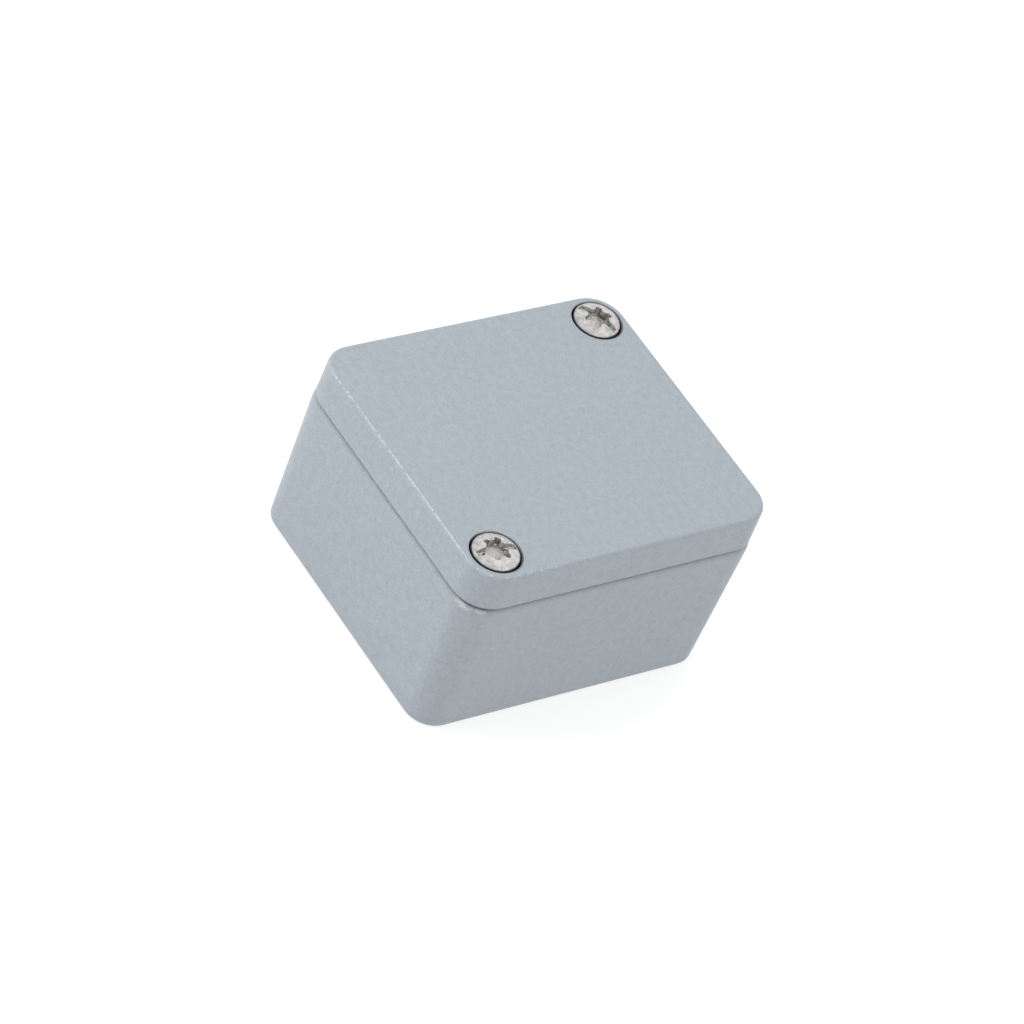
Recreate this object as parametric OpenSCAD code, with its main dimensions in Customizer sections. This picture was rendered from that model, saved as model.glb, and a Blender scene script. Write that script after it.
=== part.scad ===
// Small die-cast enclosure for electronics: drafted base, shallow sealed lid, two captive lid screws
// on one diagonal and two wall-fixing holes on the other. Sizes are millimetres. The origin is the
// centre of the base's underside, X runs across the width, Y along the length and Z up.

/* [Box] */
// Length of the closed box, along Y
box_l = 50; // [46:1:120]
// Width of the closed box, along X
box_w = 45; // [42:1:120]
// Height of the closed box
box_h = 30; // [28:1:80]
// Height of the lid's outer wall
lid_h = 6; // [5.6:0.1:8]
// Open seam between the base's rim and the lid
seam_gap = 0.2; // [0.1:0.05:0.4]
// Wall of the base at its rim
wall = 3; // [2.6:0.1:4]
// Floor of the base
floor_t = 2.5; // [2:0.1:4]
// Top plate of the lid
lid_top_t = 2.6; // [2:0.1:2.8]

/* [Casting shape] */
// How far each side of the base leans in at its foot
base_draft = 0.55; // [0.1:0.05:0.8]
// How far the lid's lower edge stands back from the base, on each side
lid_setback = 0.05; // [0:0.05:0.5]
// How far each side of the lid leans in at its top
lid_draft = 0.1; // [0:0.05:0.4]
// Corner radius of the base at its rim
base_corner_r = 4.7; // [3:0.1:6]
// Corner radius of the lid at its lower edge
lid_corner_r = 4.9; // [3:0.1:7]
// Rounding of the base's rim edge
base_rim_edge = 1; // [0.2:0.1:1.2]
// Rounding of the base's foot edge
base_foot_edge = 0.6; // [0.2:0.1:1]
// Rounding of the lid's lower edge
lid_rim_edge = 0.3; // [0.1:0.05:0.6]
// Rounding of the lid's top edge
lid_top_edge = 0.55; // [0.1:0.05:0.8]

/* [Seal] */
// Thickness of the tongue that stands on the base's rim
tongue_t = 1; // [0.8:0.1:1.4]
// Height of the tongue above the rim
tongue_h = 1.7; // [1.2:0.1:2]
// Gap between the tongue and the groove's outer wall
tongue_gap = 0.3; // [0.2:0.05:0.5]
// Gap between the tongue and the groove's inner rib
rib_gap = 0.9; // [0.5:0.1:1.2]
// Thickness of the lid's inner rib
rib_t = 1; // [0.8:0.1:1.2]
// Side play of the gasket in its groove
gasket_play = 0.05; // [0.02:0.01:0.1]

/* [Corner pillars] */
// Distance of the four screw axes from the outer sides
screw_inset = 5; // [4.8:0.1:6]
// Lid metal left round the screw counterbores
corner_wall = 1.3; // [1:0.1:2]
// Fillet where a pillar meets the walls
pillar_fillet = 2.4; // [2:0.1:3]

/* [Lid screws] */
// Diameter of the screw head
head_d = 6.8; // [6:0.1:7.4]
// Height of the head below its dome
head_h = 2.6; // [2:0.1:3]
// Height of the dome
dome_h = 1; // [0.5:0.1:1.4]
// Depth of the head's rim below the lid's top
rim_sink = 0.05; // [0:0.05:0.4]
// Gap round the head in its counterbore
head_gap = 0.3; // [0.2:0.05:0.5]
// Bevel at the counterbore's mouth
counterbore_bevel = 0.1; // [0.05:0.05:0.3]
// Outside diameter of the thread
thread_d = 4; // [3.6:0.1:4.2]
// Pitch of the thread
thread_pitch = 0.7; // [0.5:0.05:0.8]
// Turns that free a lid screw
release_turns = 7; // [5:1:8]
// Diameter of the waist above the thread
waist_d = 3; // [2.6:0.1:3.2]
// Radial fit of a thread in its tapped hole
thread_fit = 0.05; // [0.03:0.01:0.1]
// Radial gap of the thread in the lid's hole
web_gap = 0.2; // [0.1:0.05:0.4]
// Width of the slots in the screws' heads
slot_w = 1.05; // [0.8:0.05:1.4]
// Metal left between the ends of the slot and the head's rim
slot_land = 0.35; // [0.2:0.05:0.8]
// Depth of the slot below the head's rim
slot_depth = 0.05; // [0:0.05:1]
// Size of the six-lobe recess across its lobes
lobe_across = 4.2; // [3.4:0.05:4.6]
// Size of the six-lobe recess between its lobes
lobe_waist = 3; // [2.4:0.05:3.2]
// Radius of one lobe
lobe_r = 0.42; // [0.3:0.02:0.5]
// Depth of the six-lobe recess below the head's rim
lobe_depth = 0.5; // [0.1:0.1:1.6]
// Direction of the front screw's slot from +X
front_slot_angle = 87; // [0:1:180]
// Direction of the rear screw's slot from +X
rear_slot_angle = 25; // [0:1:180]

/* [Screw retainers] */
// Outside diameter of the retaining washer
retainer_d = 6.2; // [5:0.1:6.4]
// Thickness of the retaining washer
retainer_t = 0.8; // [0.6:0.1:1.2]
// Radial running fit of the washer on the waist
retainer_fit = 0.1; // [0.05:0.01:0.1]
// Gap round and below the washer in the pillar
relief_gap = 0.3; // [0.2:0.05:0.5]

/* [Wall fixing] */
// Diameter of the fixing holes
fixing_d = 4.8; // [4.6:0.1:5.2]
// Diameter of the wells for the fixing screws' heads
well_d = 7.2; // [6:0.1:7.4]
// Height of the seat for the fixing screws' heads
fixing_seat = 6; // [4:0.5:10]

/* [Inside] */
// Distance between the two board bosses on the floor
board_pitch = 26; // [20:1:27]
// Outside diameter of a board boss
board_boss_d = 6; // [5:0.1:7]
// Height of the board bosses above the floor
board_boss_h = 3.5; // [2:0.5:5]
// How far the tapped holes inside reach below the floor's surface
hole_bite = 0.4; // [0.2:0.1:0.8]
// Diameter of the tapped hole in a board boss
board_hole_d = 2.5; // [2:0.1:2.6]
// Reach of the earth boss past its washer
earth_boss_rim = 0.6; // [0.5:0.05:0.9]
// Height of the earth boss above the floor
earth_boss_h = 5.5; // [4:0.5:7]
// Gap between the clamp washer and the wall
earth_wall_gap = 0.4; // [0.3:0.05:0.45]
// Diameter of the clamp washer
clamp_washer_d = 8.2; // [7.8:0.1:8.6]
// Diameter of the lock washer
lock_washer_d = 7.4; // [6.8:0.1:8]
// Thickness of each earth washer
earth_washer_t = 1; // [0.8:0.1:1.2]
// Radial gap of the earth screw in its washers
washer_gap = 0.15; // [0.05:0.05:0.3]
// Width of the split in the lock washer
lock_split = 0.6; // [0.4:0.1:1]
// Diameter of the earth screw's head
earth_head_d = 7; // [6.4:0.1:7.6]
// Height of the earth screw's head
earth_head_h = 2.6; // [2:0.1:3]

/* [Hidden] */
$fn = 64;
// Facets of a full turn on the cast corners, steps of an edge rounding and steps of a dome
corner_facets = 32;
edge_steps = 5;
dome_steps = 10;
// Overrun of a cut past the face that it opens
cut = 1;

// Heights
base_h = box_h - lid_h - seam_gap;
lid_z = base_h + seam_gap;
tongue_z = base_h + tongue_h;
ceiling_z = box_h - lid_top_t;
head_rim_z = box_h - rim_sink;
seat_z = head_rim_z - head_h;
release_rise = release_turns * thread_pitch;
shoulder_z = lid_z - release_rise - retainer_t;
relief_z = shoulder_z - relief_gap;
tip_z = relief_z - release_rise;
tip_bevel = thread_pitch;
hole_runout = 2 * thread_pitch;
earth_z = floor_t + earth_boss_h;
earth_lock_z = earth_z + earth_washer_t;
earth_head_z = earth_lock_z + earth_washer_t;
hole_floor_z = floor_t - hole_bite;
earth_tip_z = hole_floor_z + thread_pitch;
board_z = floor_t + board_boss_h;

// Plan sizes
cavity_w = box_w - 2 * wall;
cavity_l = box_l - 2 * wall;
screw_x = box_w / 2 - screw_inset;
screw_y = box_l / 2 - screw_inset;
counterbore_r = head_d / 2 + head_gap;
pillar_r = counterbore_r + corner_wall + tongue_gap + tongue_t;
relief_r = retainer_d / 2 + relief_gap;
tapped_r = thread_d / 2 + thread_fit;
web_hole_r = thread_d / 2 + web_gap;
slot_l = head_d - 2 * slot_land;
earth_boss_r = clamp_washer_d / 2 + earth_boss_rim;
earth_y = clamp_washer_d / 2 + earth_wall_gap - cavity_l / 2;
washer_bore_r = thread_d / 2 + washer_gap;

front = [screw_x, -screw_y];
rear = [-screw_x, screw_y];
fixings = [[screw_x, screw_y], [-screw_x, -screw_y]];
boards = [[board_pitch / 2, 0], [-board_pitch / 2, 0]];

casting = [0.68, 0.72, 0.75];
stainless = [0.78, 0.76, 0.72];
seal = [0.12, 0.12, 0.13];
plastic = [0.92, 0.91, 0.86];
brass = [0.78, 0.62, 0.32];

// Points of an arc about [x, z], from one angle to another
function arc(x, z, r, from, to) =
    [for (i = [0:edge_steps])
        let (a = from + (to - from) * i / edge_steps)
        [x + r * cos(a), z + r * sin(a)]];

// Block with drafted sides, round corners and rounded foot and head edges
module cast_block(w, l, h, r, r_foot, r_head, foot_edge, head_edge) {
    corners = [[1, 1], [-1, 1], [-1, -1], [1, -1]];
    hull()
        for (i = [0:3])
            translate([corners[i].x * (w / 2 - r), corners[i].y * (l / 2 - r), 0])
                rotate(90 * i)
                    rotate_extrude(angle = 90, $fn = corner_facets)
                        polygon(concat(
                            [[0, h / 2]],
                            arc(r_foot - foot_edge, foot_edge, foot_edge, -90, 0),
                            arc(r_head - head_edge, h - head_edge, head_edge, 0, 90)));
}

// Plan of the space inside the walls, which turns in round the four pillars, grown by some margin
module cavity_plan(grow) {
    offset(r = grow + pillar_fillet)
        offset(delta = -pillar_fillet)
            difference() {
                square([cavity_w, cavity_l], center = true);
                for (sx = [-1, 1], sy = [-1, 1])
                    translate([sx * screw_x, sy * screw_y])
                        circle(r = pillar_r);
            }
}

// Upright cylinder between two heights
module post(r, from, to) {
    translate([0, 0, from])
        cylinder(r = r, h = to - from);
}

// Upright prism of the cavity plan between two heights
module cavity_prism(grow, from, to) {
    translate([0, 0, from])
        linear_extrude(to - from)
            cavity_plan(grow);
}

// Blind tapped hole with a drilled point
module tapped_hole(r, from, to) {
    post(r, from, to);
    translate([0, 0, from - r / 2])
        cylinder(r1 = 0, r2 = r, h = r / 2);
}

// Walls, floor and corner pillars of the base, with the tongue on the rim
module base_shell() {
    difference() {
        union() {
            cast_block(
                box_w, box_l, base_h, base_corner_r,
                base_corner_r - base_draft, base_corner_r, base_foot_edge, base_rim_edge);
            cavity_prism(tongue_t, base_h - cut, tongue_z);
        }
        cavity_prism(0, floor_t, tongue_z + cut);
    }
}

module base() {
    color(casting)
        difference() {
            union() {
                base_shell();
                for (p = boards)
                    translate(p)
                        post(board_boss_d / 2, floor_t - cut, board_z);
                translate([0, earth_y])
                    post(earth_boss_r, floor_t - cut, earth_z);
            }
            for (p = [front, rear])
                translate(p) {
                    post(relief_r, relief_z, base_h + cut);
                    tapped_hole(tapped_r, tip_z - hole_runout, relief_z + cut);
                }
            for (p = fixings)
                translate(p) {
                    post(well_d / 2, fixing_seat, base_h + cut);
                    post(fixing_d / 2, -cut, fixing_seat + cut);
                }
            for (p = boards)
                translate(p)
                    tapped_hole(board_hole_d / 2, hole_floor_z, board_z + cut);
            translate([0, earth_y])
                tapped_hole(tapped_r, hole_floor_z, earth_z + cut);
        }
}

module lid() {
    color(casting)
        difference() {
            translate([0, 0, lid_z])
                cast_block(
                    box_w - 2 * lid_setback, box_l - 2 * lid_setback, lid_h, lid_corner_r,
                    lid_corner_r, lid_corner_r - lid_draft, lid_rim_edge, lid_top_edge);
            difference() {
                cavity_prism(tongue_t + tongue_gap, lid_z - cut, ceiling_z);
                cavity_prism(-rib_gap, lid_z - 2 * cut, box_h);
            }
            cavity_prism(-rib_gap - rib_t, lid_z - cut, ceiling_z);
            for (p = [front, rear])
                translate(p) {
                    post(counterbore_r, seat_z, box_h + cut);
                    translate([0, 0, box_h - counterbore_bevel])
                        cylinder(
                            r1 = counterbore_r, r2 = counterbore_r + 2 * counterbore_bevel,
                            h = 2 * counterbore_bevel);
                    post(web_hole_r, lid_z - cut, seat_z + cut);
                }
            for (p = fixings)
                translate(p)
                    post(well_d / 2, lid_z - cut, ceiling_z);
        }
}

module lid_gasket() {
    color(seal)
        difference() {
            cavity_prism(tongue_t + tongue_gap - gasket_play, tongue_z, ceiling_z);
            cavity_prism(gasket_play - rib_gap, tongue_z - cut, ceiling_z + cut);
        }
}

// Six-lobe driver recess with its lobes on the slot's line
module six_lobe_recess() {
    translate([0, 0, head_rim_z - lobe_depth])
        linear_extrude(lobe_depth + dome_h + cut) {
            circle(d = lobe_waist);
            for (a = [0:60:300])
                rotate(a)
                    translate([lobe_across / 2 - lobe_r, 0])
                        circle(r = lobe_r);
        }
}

// Turned head with a full dome, which rolls over into the side
module screw_head() {
    rotate_extrude()
        polygon(concat(
            [[0, seat_z], [head_d / 2, seat_z]],
            [for (i = [0:dome_steps])
                let (a = 90 * i / dome_steps)
                [head_d / 2 * cos(a), head_rim_z + dome_h * sin(a)]]));
}

module lid_screw(slot_angle) {
    color(stainless)
        rotate(slot_angle)
            difference() {
                union() {
                    screw_head();
                    post(waist_d / 2, tip_z + tip_bevel, seat_z + cut);
                    post(thread_d / 2, tip_z + tip_bevel, shoulder_z);
                    translate([0, 0, tip_z])
                        cylinder(r1 = thread_d / 2 - tip_bevel, r2 = thread_d / 2, h = tip_bevel);
                }
                translate([-slot_l / 2, -slot_w / 2, head_rim_z - slot_depth])
                    cube([slot_l, slot_w, slot_depth + dome_h + cut]);
                six_lobe_recess();
            }
}

module screw_retainer() {
    color(plastic)
        difference() {
            post(retainer_d / 2, shoulder_z, shoulder_z + retainer_t);
            post(waist_d / 2 + retainer_fit, shoulder_z - cut, shoulder_z + retainer_t + cut);
        }
}

module lid_screw_front() {
    translate(front)
        lid_screw(front_slot_angle);
}

module lid_screw_rear() {
    translate(rear)
        lid_screw(rear_slot_angle);
}

module screw_retainer_front() {
    translate(front)
        screw_retainer();
}

module screw_retainer_rear() {
    translate(rear)
        screw_retainer();
}

module earth_screw() {
    color(brass)
        translate([0, earth_y])
            difference() {
                union() {
                    post(earth_head_d / 2, earth_head_z, earth_head_z + earth_head_h);
                    post(thread_d / 2, earth_tip_z, earth_head_z + cut);
                }
                translate([-earth_head_d, -slot_w / 2, earth_head_z + earth_head_h / 2])
                    cube([2 * earth_head_d, slot_w, earth_head_h]);
            }
}

module earth_lock_washer() {
    color(stainless)
        translate([0, earth_y])
            difference() {
                post(lock_washer_d / 2, earth_lock_z, earth_head_z);
                post(washer_bore_r, earth_lock_z - cut, earth_head_z + cut);
                translate([0, -lock_split / 2, earth_lock_z - cut])
                    cube([lock_washer_d, lock_split, earth_washer_t + 2 * cut]);
            }
}

module earth_clamp_washer() {
    color(brass)
        translate([0, earth_y])
            difference() {
                post(clamp_washer_d / 2, earth_z, earth_lock_z);
                post(washer_bore_r, earth_z - cut, earth_lock_z + cut);
            }
}

base();
lid();
lid_gasket();
lid_screw_front();
lid_screw_rear();
screw_retainer_front();
screw_retainer_rear();
earth_screw();
earth_lock_washer();
earth_clamp_washer();
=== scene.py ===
"""Looks of a small die-cast enclosure: powder-coated casting, stainless lid screws and the parts inside.

Lengths are millimetres and turn into metres where meshes, lights and the camera are made.
"""
import math

import bpy
import numpy as np
from mathutils import Matrix, Vector


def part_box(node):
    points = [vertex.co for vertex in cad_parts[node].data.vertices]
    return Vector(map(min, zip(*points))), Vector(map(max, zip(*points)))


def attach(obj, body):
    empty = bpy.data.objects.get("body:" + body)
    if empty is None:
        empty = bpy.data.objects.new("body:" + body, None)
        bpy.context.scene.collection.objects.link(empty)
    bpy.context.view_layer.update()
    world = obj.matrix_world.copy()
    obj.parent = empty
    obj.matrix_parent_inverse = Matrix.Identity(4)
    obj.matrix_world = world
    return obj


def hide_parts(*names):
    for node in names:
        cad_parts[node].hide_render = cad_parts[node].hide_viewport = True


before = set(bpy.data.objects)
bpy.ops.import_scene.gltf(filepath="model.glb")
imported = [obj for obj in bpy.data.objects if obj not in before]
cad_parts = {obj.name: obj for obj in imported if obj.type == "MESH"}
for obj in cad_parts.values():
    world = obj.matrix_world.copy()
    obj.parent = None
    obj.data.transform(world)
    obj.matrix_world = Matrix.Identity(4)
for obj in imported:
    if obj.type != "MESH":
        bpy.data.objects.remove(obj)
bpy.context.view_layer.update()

MM = 0.001


def box_mm(node):
    """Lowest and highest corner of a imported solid."""
    return [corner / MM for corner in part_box(node)]


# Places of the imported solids
BASE_HIGH = box_mm("base")[1]
LID_LOW, LID_HIGH = box_mm("lid")
SCREW_LOW, SCREW_HIGH = box_mm("lid_screw_front")
RETAINER_LOW = box_mm("screw_retainer_front")[0]
EARTH_LOW, EARTH_HIGH = box_mm("earth_clamp_washer")
SCREW_AXIS = (SCREW_LOW + SCREW_HIGH) / 2
EARTH_AXIS = (EARTH_LOW + EARTH_HIGH) / 2
BASE_CORNER_R = 4.7
LID_CORNER_R = 4.9
BOARD_AXIS_X = 13.0
BOARD_HOLE_R = 1.25
TAPPED_R = 2.05
COUNTERBORE_R = 3.7
SEAM_GAP = 0.2
RIM_TOP = LID_LOW.z - SEAM_GAP

# Lid screws
HEAD_R = (SCREW_HIGH.x - SCREW_LOW.x) / 2
HEAD_H = 2.6
DOME_H = 1.0
RIM_SINK = 0.05
HEAD_FOOT_BEVEL = 0.2
SLOT_W = 1.05
SLOT_LAND = 0.35
SLOT_DEPTH = 0.05
LOBES = 6
LOBE_ACROSS = 4.2
LOBE_WAIST = 3.0
LOBE_R = 0.42
LOBE_DEPTH = 0.5
LOBE_POINT = 0.2
LOBE_BLEND = 0.12
CUT_WALL = 0.10
CUT_LIP = 0.06
WAIST_R = 1.5
WAIST_FILLET = 0.25
THREAD_R = 2.0
THREAD_PITCH = 0.7
THREAD_DEPTH = 0.42
TIP_BEVEL = 0.7
FRONT_SLOT_ANGLE = 87.0
REAR_SLOT_ANGLE = 25.0

# Form of the thread: rise of a flank and breadth of the root by pitch, and how it starts at the shoulder
THREAD_FLANK = 2.6
THREAD_ROOT = 0.15
THREAD_RUNOUT = 1.5
THREAD_START = 0.02

# Facets of the lid screws
HEAD_SIDES = 420
SHANK_SIDES = 140
TOP_RINGS = 120
ROLL_RINGS = 14
ROLL_SHARE = 0.93
SIDE_STEPS = 3
FILLET_ROWS = 5
WAIST_ROWS = 4
ROWS_PER_TURN = 14

RIM_Z = LID_HIGH.z - RIM_SINK
SEAT_Z = RIM_Z - HEAD_H

# Colours, as linear light
COAT = (0.258, 0.2895, 0.321)
COAT_WORN_AND_LIT = (0.50, 0.53, 0.56)
COAT_SHADE_AND_SPECKS = (0.070, 0.076, 0.084)
BARE_ALLOY = (0.60, 0.60, 0.59)
BORE_SHADE = (0.05, 0.05, 0.052)
STEEL = (0.495, 0.487, 0.477)
STEEL_BURNISHED = (0.67, 0.655, 0.635)
STEEL_GRIME_AND_SHADE = (0.15, 0.13, 0.108)
RUBBER = (0.022, 0.022, 0.024)
NYLON = (0.80, 0.78, 0.70)
BRASS = (0.70, 0.50, 0.22)
FLOOR = (0.34, 0.34, 0.34)

# Chipped coat on the base's rim, painted lighter as wear and as highlight where the rounding catches
# light: place, direction in the plan, breadth and share
RIM_CHIPS_AND_GLINTS = (
    ((19.5, -24.5, 23.5), (0.98, 0.2, 0.0), 0.60, 0.60),
    ((20.8, -23.7, 23.6), (0.87, 0.5, 0.0), 0.55, 0.18),
    ((21.8, -22.5, 23.55), (0.7, 0.7, 0.0), 0.50, 0.42),
)

# Stretches of the lid's upper edges with thin coat and painted highlight, each from its end to where it
# is in full
FRONT_WEAR_AND_HIGHLIGHT_X = ((19.5, 15.0), (-19.5, -17.5))
SIDE_WEAR_AND_HIGHLIGHT_Y = (-10.0, -14.0)
WEAR_AND_HIGHLIGHT_SHARE = 0.52

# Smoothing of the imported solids
WELD_REACH = 0.002
FLAT_ANGLE = 0.4
CREASE_ANGLE = 38.0
EDGE_SEGMENTS = 2
FACE_WEIGHT = 80

# Camera, fitted to the outline of the object in the photograph
IMAGE_SIDE = 1024
CAMERA_PLACE = Vector((335.7, -389.4, 464.8))
CAMERA_RIGHT = Vector((0.5144, 0.8002, 0.3083))
CAMERA_DOWN = Vector((0.7029, -0.1876, -0.6860))
CAMERA_FOCAL_PIXELS = 4953.0
SENSOR_WIDTH = 36.0

# Light: a surround a little brighter above and at the back, a key lamp from the left, a light table
SKY_DIRECTION = Vector((0.0, 0.83, 0.56)).normalized()
SKY_MEAN = 1.17
SKY_SWING = 0.22
KEY_DIRECTION = Vector((-0.61, -0.61, 0.50)).normalized()
KEY_DISTANCE = 700.0
KEY_SIDE = 700.0
KEY_POWER = 3.8
FLOOR_SIDE = 4000.0
FLOOR_GLOW = 0.65

# Reach of the camera's view
CAMERA_NEAR = 10.0
CAMERA_FAR = 10 * FLOOR_SIDE


class Finish:
    """One node material, with the object's own coordinates in millimetres."""

    def __init__(self, name):
        self.material = bpy.data.materials.new(name)
        self.material.use_nodes = True
        self.tree = self.material.node_tree
        self.shader = self.tree.nodes["Principled BSDF"]
        coordinates = self.tree.nodes.new("ShaderNodeTexCoord")
        self.facing = self.axes(coordinates.outputs["Normal"])
        self.place = self.vector("SCALE", coordinates.outputs["Object"], scale=1 / MM)
        self.x, self.y, self.z = self.axes(self.place)

    def node(self, kind, inputs, **settings):
        """A new node, with its settings and its inputs."""
        made = self.tree.nodes.new(kind)
        for setting, value in settings.items():
            setattr(made, setting, value)
        for socket, value in inputs.items():
            self.feed(made.inputs[socket], value)
        return made

    def feed(self, socket, value):
        """Links a socket to another one, or sets its value."""
        if isinstance(value, bpy.types.NodeSocket):
            self.tree.links.new(value, socket)
        else:
            socket.default_value = value

    def set(self, **inputs):
        """Sets sockets of the shader, named with _ for each space."""
        for name, value in inputs.items():
            self.feed(self.shader.inputs[name.replace("_", " ")], value)

    def vector(self, operation, a, b=None, scale=None):
        """Result of an operation on vectors."""
        inputs = {0: a}
        if b is not None:
            inputs[1] = b
        if scale is not None:
            inputs["Scale"] = scale
        made = self.node("ShaderNodeVectorMath", inputs, operation=operation)
        return made.outputs["Value" if operation in ("LENGTH", "DOT_PRODUCT") else "Vector"]

    def math(self, operation, a, b=0.0):
        """Result of an operation on numbers."""
        return self.node("ShaderNodeMath", {0: a, 1: b}, operation=operation).outputs[0]

    def both(self, *shares):
        """Where all of several masks hold."""
        found = shares[0]
        for share in shares[1:]:
            found = self.math("MULTIPLY", found, share)
        return found

    def either(self, *shares):
        """Where any of several masks holds."""
        found = shares[0]
        for share in shares[1:]:
            found = self.math("MAXIMUM", found, share)
        return found

    def axes(self, vector):
        """The three parts of a vector."""
        return self.node("ShaderNodeSeparateXYZ", {0: vector}).outputs

    def join(self, x, y, z):
        """A vector made of three numbers."""
        return self.node("ShaderNodeCombineXYZ", {0: x, 1: y, 2: z}).outputs[0]

    def between(self, value, low, high, to_low=0.0, to_high=1.0):
        """A smooth step from to_low to to_high as the value goes from low to high."""
        inputs = {"Value": value, "From Min": low, "From Max": high, "To Min": to_low, "To Max": to_high}
        return self.node("ShaderNodeMapRange", inputs, interpolation_type="SMOOTHSTEP").outputs[0]

    def noise(self, size, detail=2.0, roughness=0.5, place=None):
        """Soft noise with features of about the given size."""
        inputs = {"Vector": place or self.place, "Scale": 1 / size}
        inputs.update({"Detail": detail, "Roughness": roughness})
        return self.node("ShaderNodeTexNoise", inputs).outputs[0]

    def cells(self, size):
        """Distance from the middle of random cells, and a random number for each cell."""
        made = self.node("ShaderNodeTexVoronoi", {"Vector": self.place, "Scale": 1 / size})
        return made.outputs["Distance"], self.axes(made.outputs["Color"])[0]

    def blend(self, share, a, b):
        """Colour a turning into colour b."""
        made = self.node("ShaderNodeMix", {0: share}, data_type="RGBA")
        for socket, value in ((made.inputs[6], a), (made.inputs[7], b)):
            self.feed(socket, (*value, 1.0) if isinstance(value, tuple) else value)
        return made.outputs[2]

    def slide(self, share, a, b):
        """Number a turning into number b."""
        return self.node("ShaderNodeMix", {0: share, 2: a, 3: b}, data_type="FLOAT").outputs[0]

    def tint(self, colour, share, amount):
        """The colour made lighter and darker by a share from 0 to 1."""
        darker = tuple(c * (1 - amount) for c in colour)
        lighter = tuple(c * (1 + amount) for c in colour)
        return self.blend(share, darker, lighter)

    def bump(self, height, depth, strength=1.0):
        """Shading of a surface whose height goes from 0 to a depth."""
        inputs = {"Height": height, "Distance": depth * MM, "Strength": strength}
        return self.node("ShaderNodeBump", inputs).outputs[0]

    def from_axis(self, x, y, mirror_x=False):
        """Distance from an upright axis, or from the nearer of two that mirror each other across x."""
        px = self.math("ABSOLUTE", self.x) if mirror_x else self.x
        offset = self.join(self.math("SUBTRACT", px, x), self.math("SUBTRACT", self.y, y), 0.0)
        return self.vector("LENGTH", offset)

    def from_screws(self):
        """Distance from the nearer lid screw's axis."""
        front = self.from_axis(SCREW_AXIS.x, SCREW_AXIS.y)
        rear = self.from_axis(-SCREW_AXIS.x, -SCREW_AXIS.y)
        return self.math("MINIMUM", front, rear)

    def depth_inside(self, half_x, half_y, corner_r):
        """Depth inside an upright box with round corners, about the middle."""
        over_x = self.math("SUBTRACT", self.math("ABSOLUTE", self.x), half_x - corner_r)
        over_y = self.math("SUBTRACT", self.math("ABSOLUTE", self.y), half_y - corner_r)
        corner = self.vector("MAXIMUM", self.join(over_x, over_y, 0.0), (0.0, 0.0, 0.0))
        flat = self.math("MINIMUM", self.either(over_x, over_y), 0.0)
        return self.math("SUBTRACT", corner_r, self.math("ADD", self.vector("LENGTH", corner), flat))


def coat_layers(finish):
    """Colour, roughness and surface height of the textured powder coat, its colour mottled with the
    height as uneven tone and painted shade of the bumps.
    """
    broad = finish.noise(14.0, detail=3.0)
    peel = finish.noise(1.0, detail=2.0, roughness=0.55)
    grain = finish.noise(0.25, detail=2.0, roughness=0.6)
    height = finish.slide(0.62, peel, grain)
    # Colour follows the height: uneven tone and painted shade of the coat's bumps
    colour = finish.blend(0.5, finish.tint(COAT, broad, 0.05), finish.tint(COAT, height, 0.70))
    speck, chance = finish.cells(5.5)
    rare = finish.math("GREATER_THAN", chance, 0.80)
    speck = finish.both(finish.between(speck, 0.016, 0.030, 1.0, 0.0), rare, 0.55)
    colour = finish.blend(speck, colour, COAT_SHADE_AND_SPECKS)
    roughness = finish.between(grain, 0.25, 0.75, 0.42, 0.55)
    return colour, roughness, height


def edge_wear_and_highlight(finish):
    """Share of thin coat and painted highlight along the lid's upper edges, where it shows as light dots
    and dashes.
    """
    nx, ny, nz = finish.facing
    clear_of_screws = finish.between(finish.from_screws(), COUNTERBORE_R + 0.25, COUNTERBORE_R + 0.4)
    on_edge = finish.both(finish.between(nz, 0.72, 0.84), finish.between(nz, 0.99, 0.95), clear_of_screws)
    dashes = finish.noise(0.5, detail=2.0, roughness=0.6)
    sparse = finish.between(finish.x, -20.0, 4.0, 0.51, 0.40)
    front = finish.both(
        finish.between(ny, -0.05, -0.15),
        *(finish.between(finish.x, *stretch) for stretch in FRONT_WEAR_AND_HIGHLIGHT_X),
        finish.between(finish.math("SUBTRACT", dashes, sparse), -0.02, 0.12),
    )
    dots = finish.noise(0.4, detail=1.0)
    side = finish.both(
        finish.between(nx, 0.05, 0.15),
        finish.between(finish.y, *SIDE_WEAR_AND_HIGHLIGHT_Y),
        finish.between(dots, 0.50, 0.66),
    )
    return finish.both(finish.either(front, side), on_edge, WEAR_AND_HIGHLIGHT_SHARE)


def rim_chips_and_glints(finish):
    """Share of the long light patches on the base's rim at the front corner: chipped coat and painted
    highlight.
    """
    ragged = finish.math("SUBTRACT", finish.noise(0.4, detail=3.0), 0.5)
    ragged = finish.math("MULTIPLY", ragged, 1.4)
    found = []
    for place, line, breadth, share in RIM_CHIPS_AND_GLINTS:
        offset = finish.vector("SUBTRACT", finish.place, place)
        along = finish.math("MULTIPLY", finish.vector("DOT_PRODUCT", offset, line), 0.6)
        squeezed = finish.vector("SUBTRACT", offset, finish.vector("SCALE", line, scale=along))
        away = finish.math("ADD", finish.vector("LENGTH", squeezed), ragged)
        found.append(finish.between(away, breadth, 0.4 * breadth, 0.0, share))
    return finish.either(*found)


def front_corner(finish):
    """Share of the lid's front corner, fading out at the ends of its rounding."""
    start = LID_HIGH.x + LID_HIGH.y - LID_CORNER_R
    return finish.between(finish.math("SUBTRACT", finish.x, finish.y), start - 0.3, start + 0.9)


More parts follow.
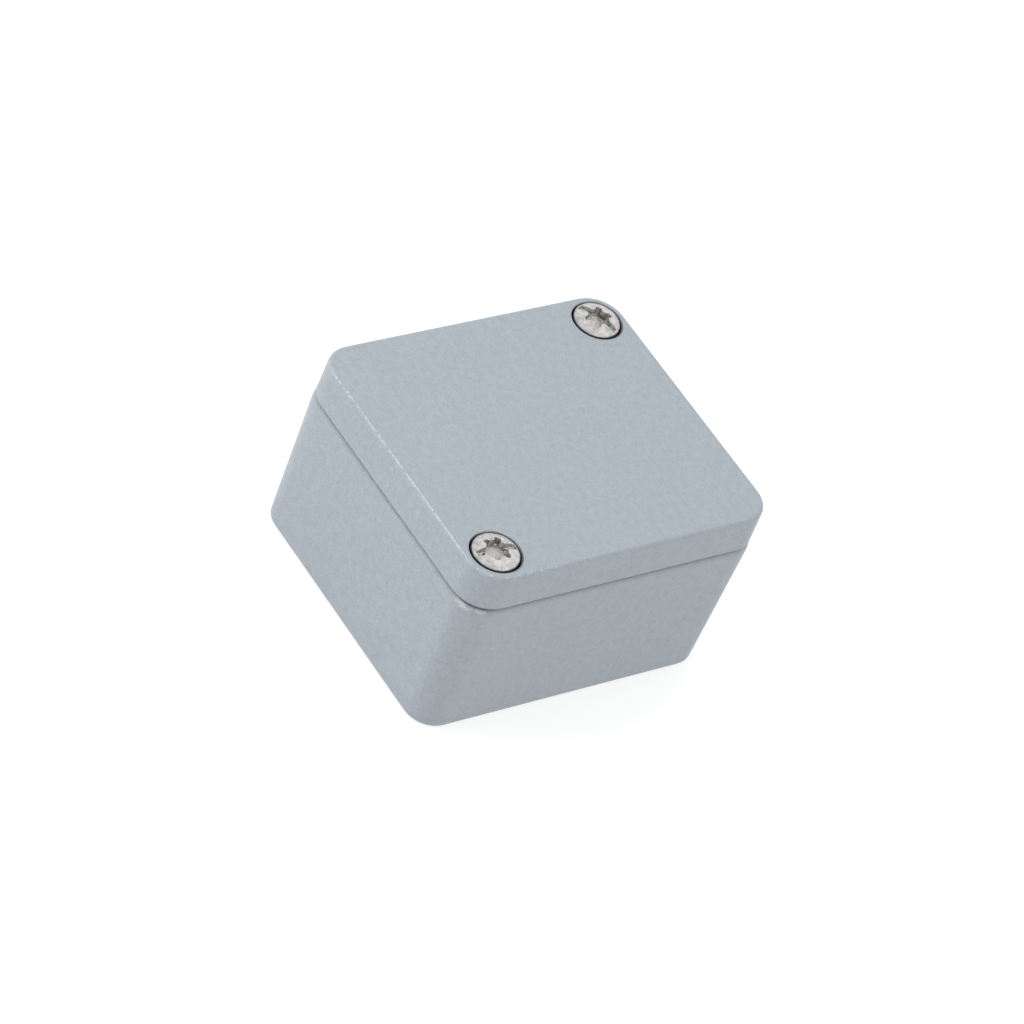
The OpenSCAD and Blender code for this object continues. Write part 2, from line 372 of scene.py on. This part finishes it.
def casting(name, worn_and_lit, shaded, bare, cut):
    """Coated casting. The masks give thin coat with painted highlight, painted shade in the seam, bare
    cast metal and machined holes painted dark as shade.
    """
    finish = Finish(name)
    colour, roughness, height = coat_layers(finish)
    flow = finish.noise(3.5, detail=5.0, roughness=0.6)
    bare, cut = bare(finish), cut(finish)
    metal = finish.either(bare, cut)
    # Lighter coat painted where the coat is thin and as painted highlight where edges catch the light
    colour = finish.blend(worn_and_lit(finish), colour, COAT_WORN_AND_LIT)
    colour = finish.blend(bare, colour, finish.tint(BARE_ALLOY, flow, 0.25))
    # Holes and counterbore walls painted near black as shade
    colour = finish.blend(cut, colour, finish.tint(BORE_SHADE, flow, 0.4))
    # Painted shade along the seam and round the counterbores
    colour = finish.blend(shaded(finish), colour, COAT_SHADE_AND_SPECKS)
    finish.set(
        Base_Color=colour,
        Roughness=finish.slide(metal, roughness, finish.between(flow, 0.3, 0.7, 0.34, 0.5)),
        Metallic=finish.both(metal, 0.9),
        Normal=finish.bump(finish.slide(metal, height, flow), 0.11, 1.0),
    )
    return finish.material


def coat_depth(finish, high, corner_r):
    """Depth inside a casting's outline, uneven as the coat's inner edge is."""
    uneven = finish.math("MULTIPLY", finish.noise(0.8, detail=3.0), 0.25)
    return finish.math("SUBTRACT", finish.depth_inside(high.x, high.y, corner_r), uneven)


def base_shaded(finish):
    """Painted shade on the base's rim under the lid, and more of it at the front corner."""
    rim = finish.between(finish.z, RIM_TOP - 0.9, RIM_TOP, 0.0, 0.16)
    top = finish.between(finish.z, RIM_TOP - 0.4, RIM_TOP, 0.0, 0.65)
    corner_shade = finish.both(front_corner(finish), top)
    return finish.either(rim, corner_shade)


def base_bare(finish):
    """The inside of the base and its tongue are bare."""
    inside = coat_depth(finish, BASE_HIGH, BASE_CORNER_R)
    return finish.both(finish.between(inside, 1.05, 1.15), finish.between(finish.z, 1.0, 1.5))


def base_cut(finish):
    """Tapped holes of the base."""
    board = finish.from_axis(BOARD_AXIS_X, 0.0, mirror_x=True)
    earth = finish.from_axis(EARTH_AXIS.x, EARTH_AXIS.y)
    holes = [(finish.from_screws(), TAPPED_R), (board, BOARD_HOLE_R), (earth, TAPPED_R)]
    inside = finish.either(*(finish.between(away, hole_r + 0.04, hole_r) for away, hole_r in holes))
    return finish.both(inside, finish.between(finish.z, 0.6, 0.9))


def lid_shaded(finish):
    """Painted shade on the lid's lower edge, most of it at the front corner, and painted shadow in and
    behind the counterbores.
    """
    rim = finish.between(finish.z, LID_LOW.z + 0.3, LID_LOW.z, 0.0, 0.27)
    foot = finish.between(finish.z, LID_LOW.z + 0.5, LID_LOW.z, 0.0, 0.65)
    corner_shade = finish.both(front_corner(finish), foot)
    bore = finish.between(finish.from_screws(), COUNTERBORE_R + 0.06, COUNTERBORE_R + 0.01)
    bore = finish.both(bore, finish.between(finish.z, LID_HIGH.z, LID_HIGH.z - 0.5), 0.7)
    shade_behind_bores = []
    for end in (1, -1):
        away = finish.from_axis(end * SCREW_AXIS.x, end * SCREW_AXIS.y)
        beside = finish.between(away, COUNTERBORE_R + 0.28, COUNTERBORE_R + 0.16, 0.0, 0.9)
        behind = finish.between(finish.math("SUBTRACT", finish.y, end * SCREW_AXIS.y), -0.5, 2.5)
        shade_behind_bores.append(finish.both(beside, behind))
    return finish.either(rim, corner_shade, bore, *shade_behind_bores)


def lid_bare(finish):
    """The underside of the lid is bare."""
    inside = coat_depth(finish, LID_HIGH, LID_CORNER_R)
    below = finish.between(finish.z, LID_HIGH.z - 2.3, LID_HIGH.z - 2.4)
    return finish.both(finish.between(inside, 0.55, 0.65), below)


def lid_cut(finish):
    """The seats of the lid screws' heads and the holes under them."""
    inside = finish.between(finish.from_screws(), COUNTERBORE_R + 0.04, COUNTERBORE_R + 0.01)
    return finish.both(inside, finish.between(finish.z, SEAT_Z + 0.9, SEAT_Z + 0.3))


def scratches(finish, turn, size):
    """Noise drawn out along one direction in the plan."""
    along = finish.vector("DOT_PRODUCT", finish.place, (math.cos(turn), math.sin(turn), 0.2))
    across = finish.vector("DOT_PRODUCT", finish.place, (-math.sin(turn), math.cos(turn), 0.1))
    drawn_out = finish.join(finish.math("MULTIPLY", along, 0.07), across, turn)
    return finish.noise(size, detail=1.0, place=drawn_out)


def stainless(name, axis=None):
    """Tumbled stainless steel, scratched on top. A driver recess at an axis has rubbed walls with grime
    and painted shade, darker deeper down.
    """
    finish = Finish(name)
    fine = finish.noise(0.8, detail=5.0, roughness=0.72)
    marks = []
    for turn, size in ((0.5, 0.16), (1.9, 0.13), (2.7, 0.2)):
        marks.append(finish.between(scratches(finish, turn, size), 0.58, 0.72))
    scored = finish.both(finish.either(*marks), finish.between(finish.facing[2], 0.35, 0.75))
    height = finish.math("ADD", finish.math("MULTIPLY", fine, 0.6), scored)
    dark = tuple(c * 0.5 for c in STEEL)
    colour = finish.blend(finish.both(scored, 0.35), finish.tint(STEEL, fine, 0.85), dark)
    if axis is not None:
        inside = finish.between(finish.from_axis(axis.x, axis.y), HEAD_R - 0.30, HEAD_R - 0.40)
        above = finish.between(finish.z, RIM_Z - 1.0, RIM_Z - 0.9)
        steep = finish.between(finish.facing[2], 0.80, 0.45)
        deep = finish.between(finish.z, RIM_Z + 0.7, RIM_Z - 0.3, 0.2, 1.0)
        patchy = finish.between(finish.noise(0.6, detail=2.0), 0.46, 0.58, 0.0, 0.9)
        wall = finish.both(inside, above, steep)
        colour = finish.blend(wall, colour, STEEL_BURNISHED)
        # Grime and painted shade on the recess walls, darker deeper down
        colour = finish.blend(finish.both(wall, deep, patchy), colour, STEEL_GRIME_AND_SHADE)
    finish.set(
        Base_Color=colour,
        Metallic=1.0,
        Roughness=finish.between(fine, 0.2, 0.8, 0.32, 0.48),
        Normal=finish.bump(height, 0.014, 0.8),
    )
    return finish.material


def rubber():
    """Moulded black sealing rubber with a dusty bloom."""
    finish = Finish("seal_rubber")
    grain = finish.noise(0.12)
    finish.set(
        Base_Color=finish.tint(RUBBER, finish.noise(3.0, detail=4.0), 0.5),
        Roughness=finish.between(grain, 0.2, 0.8, 0.55, 0.78),
        Normal=finish.bump(grain, 0.008, 0.5),
    )
    return finish.material


def nylon():
    """Moulded natural nylon."""
    finish = Finish("retainer_plastic")
    grain = finish.noise(0.2)
    finish.set(
        Base_Color=finish.tint(NYLON, finish.noise(2.0, detail=3.0), 0.08),
        Roughness=finish.between(grain, 0.2, 0.8, 0.38, 0.55),
        Normal=finish.bump(grain, 0.006, 0.4),
    )
    return finish.material


def brass():
    """Turned brass with tool rings round the earth terminal's axis and faint tarnish."""
    finish = Finish("terminal_brass")
    distance = finish.from_axis(EARTH_AXIS.x, EARTH_AXIS.y)
    turned = finish.join(distance, finish.math("MULTIPLY", finish.z, 0.5), 0.0)
    rings = finish.noise(0.09, detail=1.0, place=turned)
    tarnish = finish.noise(1.6, detail=4.0, roughness=0.6)
    bright = finish.tint(BRASS, rings, 0.1)
    dull = tuple(c * 0.6 for c in BRASS)
    finish.set(
        Base_Color=finish.blend(finish.between(tarnish, 0.45, 0.75), bright, dull),
        Metallic=1.0,
        Roughness=finish.between(tarnish, 0.3, 0.7, 0.22, 0.42),
        Normal=finish.bump(rings, 0.008, 0.4),
    )
    return finish.material


def light_table():
    """White table that glows."""
    finish = Finish("studio_floor")
    finish.set(
        Base_Color=finish.tint(FLOOR, finish.noise(60.0), 0.01),
        Roughness=0.85,
        Emission_Color=(1.0, 1.0, 1.0, 1.0),
        Emission_Strength=FLOOR_GLOW,
    )
    return finish.material


def dress(node, material, edge):
    """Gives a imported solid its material, rounds its sharp edges and smooths its shading."""
    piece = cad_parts[node]
    mesh = piece.data
    mesh.materials.clear()
    mesh.materials.append(material)
    if "custom_normal" in mesh.attributes:
        mesh.attributes.remove(mesh.attributes["custom_normal"])
    mesh.polygons.foreach_set("use_smooth", [True] * len(mesh.polygons))
    weld = piece.modifiers.new("weld", "WELD")
    weld.merge_threshold = WELD_REACH * MM
    planar = piece.modifiers.new("planar", "DECIMATE")
    planar.decimate_type = "DISSOLVE"
    planar.angle_limit = math.radians(FLAT_ANGLE)
    bevel = piece.modifiers.new("edges", "BEVEL")
    bevel.width = edge * MM
    bevel.segments = EDGE_SEGMENTS
    bevel.limit_method = "ANGLE"
    bevel.angle_limit = math.radians(CREASE_ANGLE)
    split = piece.modifiers.new("crease", "EDGE_SPLIT")
    split.split_angle = math.radians(CREASE_ANGLE)
    weigh = piece.modifiers.new("normals", "WEIGHTED_NORMAL")
    weigh.mode = "FACE_AREA_WITH_ANGLE"
    weigh.weight = FACE_WEIGHT


def smooth_step(t):
    """Share that eases from 0 to 1 as t does."""
    t = np.clip(t, 0.0, 1.0)
    return t * t * (3 - 2 * t)


def smooth_min(a, b, reach):
    """The smaller of two values, with a fillet of some reach where they meet."""
    share = np.clip(0.5 + (b - a) / (2 * reach), 0.0, 1.0)
    return b + (a - b) * share - reach * share * (1 - share)


def sink(whole, floor, outside):
    """Height of a surface after a cut down to a floor, by the distance outside the cut's outline."""
    left = smooth_step((outside + CUT_WALL) / (CUT_WALL + CUT_LIP))
    return floor + (whole - floor) * left


def head_height(x, y):
    """Height of the head's domed top with its slot along x and its six-lobe recess."""
    r = np.hypot(x, y)
    dome = RIM_Z + DOME_H * np.sqrt(np.clip(1 - (r / HEAD_R) ** 2, 0.0, 1.0))
    slot = np.maximum(np.abs(x) - (HEAD_R - SLOT_LAND), np.abs(y) - SLOT_W / 2)
    star = r - LOBE_WAIST / 2
    lobe_r = LOBE_ACROSS / 2 - LOBE_R
    for turn in range(LOBES):
        angle = turn * 2 * math.pi / LOBES
        lobe = np.hypot(x - lobe_r * math.cos(angle), y - lobe_r * math.sin(angle)) - LOBE_R
        star = smooth_min(star, lobe, LOBE_BLEND)
    point = LOBE_POINT * np.clip(1 - r / (LOBE_WAIST / 2), 0.0, 1.0)
    return np.minimum(sink(dome, RIM_Z - SLOT_DEPTH, slot), sink(dome, RIM_Z - LOBE_DEPTH - point, star))


def ring(r, z, sides):
    """Ring of points at a radius, at one height or at a height worked out from x and y."""
    angle = np.linspace(0, 2 * math.pi, sides, endpoint=False)
    x, y = r * np.cos(angle), r * np.sin(angle)
    return np.stack([x, y, z(x, y) if callable(z) else np.full(sides, z)], 1)


def head_rings():
    """Rings of the head, from its middle out, over the dome's edge, down its side and in under it."""
    top = np.linspace(0, ROLL_SHARE, TOP_RINGS + 1)[1:]
    roll = np.sin(np.linspace(math.asin(ROLL_SHARE), math.pi / 2, ROLL_RINGS + 1)[1:])
    rings = [ring(HEAD_R * share, head_height, HEAD_SIDES) for share in (*top, *roll)]
    for z in np.linspace(RIM_Z, SEAT_Z + HEAD_FOOT_BEVEL, SIDE_STEPS + 1)[1:]:
        rings.append(ring(HEAD_R, z, HEAD_SIDES))
    rings.append(ring(HEAD_R - HEAD_FOOT_BEVEL, SEAT_Z, HEAD_SIDES))
    return rings


def shank_rings():
    """Rings of the waist and the thread, from the head down to the tip."""
    shoulder, tip = RETAINER_LOW.z, SCREW_LOW.z
    rings = []
    for a in np.linspace(0, math.pi / 2, FILLET_ROWS):
        r = WAIST_R + WAIST_FILLET * (1 - math.sin(a))
        rings.append(ring(r, SEAT_Z - WAIST_FILLET * (1 - math.cos(a)), SHANK_SIDES))
    for z in np.linspace(SEAT_Z - 2 * WAIST_FILLET, shoulder, WAIST_ROWS):
        rings.append(ring(WAIST_R, z, SHANK_SIDES))
    turn = np.arange(SHANK_SIDES) / SHANK_SIDES
    for z in np.linspace(shoulder, tip, round((shoulder - tip) / THREAD_PITCH * ROWS_PER_TURN)):
        phase = (z / THREAD_PITCH - turn) % 1.0
        crest = np.clip(THREAD_FLANK * (0.5 - np.abs(phase - 0.5)) - THREAD_ROOT, 0.0, 1.0)
        runout = WAIST_R + THREAD_RUNOUT * (shoulder - z) + THREAD_START
        limit = min(THREAD_R, THREAD_R - TIP_BEVEL + (z - tip), runout)
        r = np.minimum(THREAD_R - THREAD_DEPTH * (1 - crest), limit)
        rings.append(ring(r, z, SHANK_SIDES))
    return rings


def lid_screw(name, node, body, slot_angle):
    """Lid screw with a rounded driver recess and a cut thread, in place of a packed one."""
    low, high = box_mm(node)
    middle = (low + high) / 2
    points = [(0.0, 0.0, float(head_height(0.0, 0.0)))]
    faces = []

    def add(rings):
        """Adds rings of points and gives the place of each ring's first point."""
        starts = []
        for each in rings:
            starts.append(len(points))
            points.extend(map(tuple, each))
        return starts

    def bands(starts, sides):
        """Adds the faces between each ring and the next."""
        for a, b in zip(starts, starts[1:]):
            for i in range(sides):
                j = (i + 1) % sides
                faces.append((a + i, b + i, b + j, a + j))

    head = add(head_rings())
    faces.extend((0, head[0] + i, head[0] + (i + 1) % HEAD_SIDES) for i in range(HEAD_SIDES))
    bands(head, HEAD_SIDES)
    shank = add(shank_rings())
    step = HEAD_SIDES // SHANK_SIDES
    for i in range(SHANK_SIDES):
        outer = [head[-1] + (i * step + k) % HEAD_SIDES for k in range(step, -1, -1)]
        faces.append((*outer, shank[0] + i, shank[0] + (i + 1) % SHANK_SIDES))
    bands(shank, SHANK_SIDES)
    faces.append(tuple(shank[-1] + i for i in range(SHANK_SIDES)))

    mesh = bpy.data.meshes.new(name)
    mesh.from_pydata(points, [], faces)
    mesh.transform(Matrix.Rotation(math.radians(slot_angle), 4, "Z"))
    mesh.transform(Matrix.Translation((middle.x, middle.y, 0.0)))
    mesh.transform(Matrix.Scale(MM, 4))
    mesh.shade_smooth()
    mesh.materials.append(stainless(name + "_steel", middle))
    piece = bpy.data.objects.new(name, mesh)
    bpy.context.scene.collection.objects.link(piece)
    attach(piece, body)
    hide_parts(node)


def studio():
    """Light table, a soft bright surround and one large lamp from the left."""
    half = FLOOR_SIDE / 2 * MM
    mesh = bpy.data.meshes.new("studio_floor")
    corners = [(-half, -half, 0), (half, -half, 0), (half, half, 0), (-half, half, 0)]
    mesh.from_pydata(corners, [], [(0, 1, 2, 3)])
    mesh.materials.append(light_table())
    floor = bpy.data.objects.new("studio_floor", mesh)
    bpy.context.scene.collection.objects.link(floor)

    world = bpy.data.worlds.new("studio")
    world.use_nodes = True
    nodes, links = world.node_tree.nodes, world.node_tree.links
    direction = nodes.new("ShaderNodeTexCoord")
    towards_back = nodes.new("ShaderNodeVectorMath")
    towards_back.operation = "DOT_PRODUCT"
    towards_back.inputs[1].default_value = SKY_DIRECTION
    strength = nodes.new("ShaderNodeMapRange")
    strength.inputs["From Min"].default_value = -1.0
    strength.inputs["To Min"].default_value = SKY_MEAN - SKY_SWING
    strength.inputs["To Max"].default_value = SKY_MEAN + SKY_SWING
    links.new(direction.outputs["Generated"], towards_back.inputs[0])
    links.new(towards_back.outputs["Value"], strength.inputs["Value"])
    links.new(strength.outputs[0], nodes["Background"].inputs["Strength"])
    nodes["Background"].inputs["Color"].default_value = (1.0, 1.0, 1.0, 1.0)
    bpy.context.scene.world = world

    lamp = bpy.data.lights.new("key", "AREA")
    lamp.size = KEY_SIDE * MM
    lamp.energy = KEY_POWER
    key = bpy.data.objects.new("key", lamp)
    key.location = KEY_DIRECTION * KEY_DISTANCE * MM
    key.rotation_euler = KEY_DIRECTION.to_track_quat("Z", "Y").to_euler()
    key.visible_camera = False
    key.visible_glossy = False
    bpy.context.scene.collection.objects.link(key)


def camera():
    """Camera at the photograph's viewing angle."""
    lens = bpy.data.cameras.new("camera")
    lens.sensor_width = SENSOR_WIDTH
    lens.lens = CAMERA_FOCAL_PIXELS * SENSOR_WIDTH / IMAGE_SIDE
    lens.clip_start = CAMERA_NEAR * MM
    lens.clip_end = CAMERA_FAR * MM
    eye = bpy.data.objects.new("camera", lens)
    right = CAMERA_RIGHT.normalized()
    up = (-CAMERA_DOWN - right * right.dot(-CAMERA_DOWN)).normalized()
    turn = Matrix((right, up, right.cross(up))).transposed().to_4x4()
    eye.matrix_world = Matrix.Translation(CAMERA_PLACE * MM) @ turn
    bpy.context.scene.collection.objects.link(eye)
    bpy.context.scene.camera = eye


camera()
studio()
bpy.context.scene.view_settings.view_transform = "Standard"

dress("base", casting("base_coat", rim_chips_and_glints, base_shaded, base_bare, base_cut), edge=0.25)
dress("lid", casting("lid_coat", edge_wear_and_highlight, lid_shaded, lid_bare, lid_cut), edge=0.12)
dress("lid_gasket", rubber(), edge=0.15)
for end in ("front", "rear"):
    dress("screw_retainer_" + end, nylon(), edge=0.12)
dress("earth_screw", brass(), edge=0.2)
dress("earth_clamp_washer", brass(), edge=0.12)
dress("earth_lock_washer", stainless("washer_steel"), edge=0.12)
lid_screw("lid_screw_front_machined", "lid_screw_front", "screw_front", FRONT_SLOT_ANGLE)
lid_screw("lid_screw_rear_machined", "lid_screw_rear", "screw_rear", REAR_SLOT_ANGLE)

bpy.context.view_layer.update()
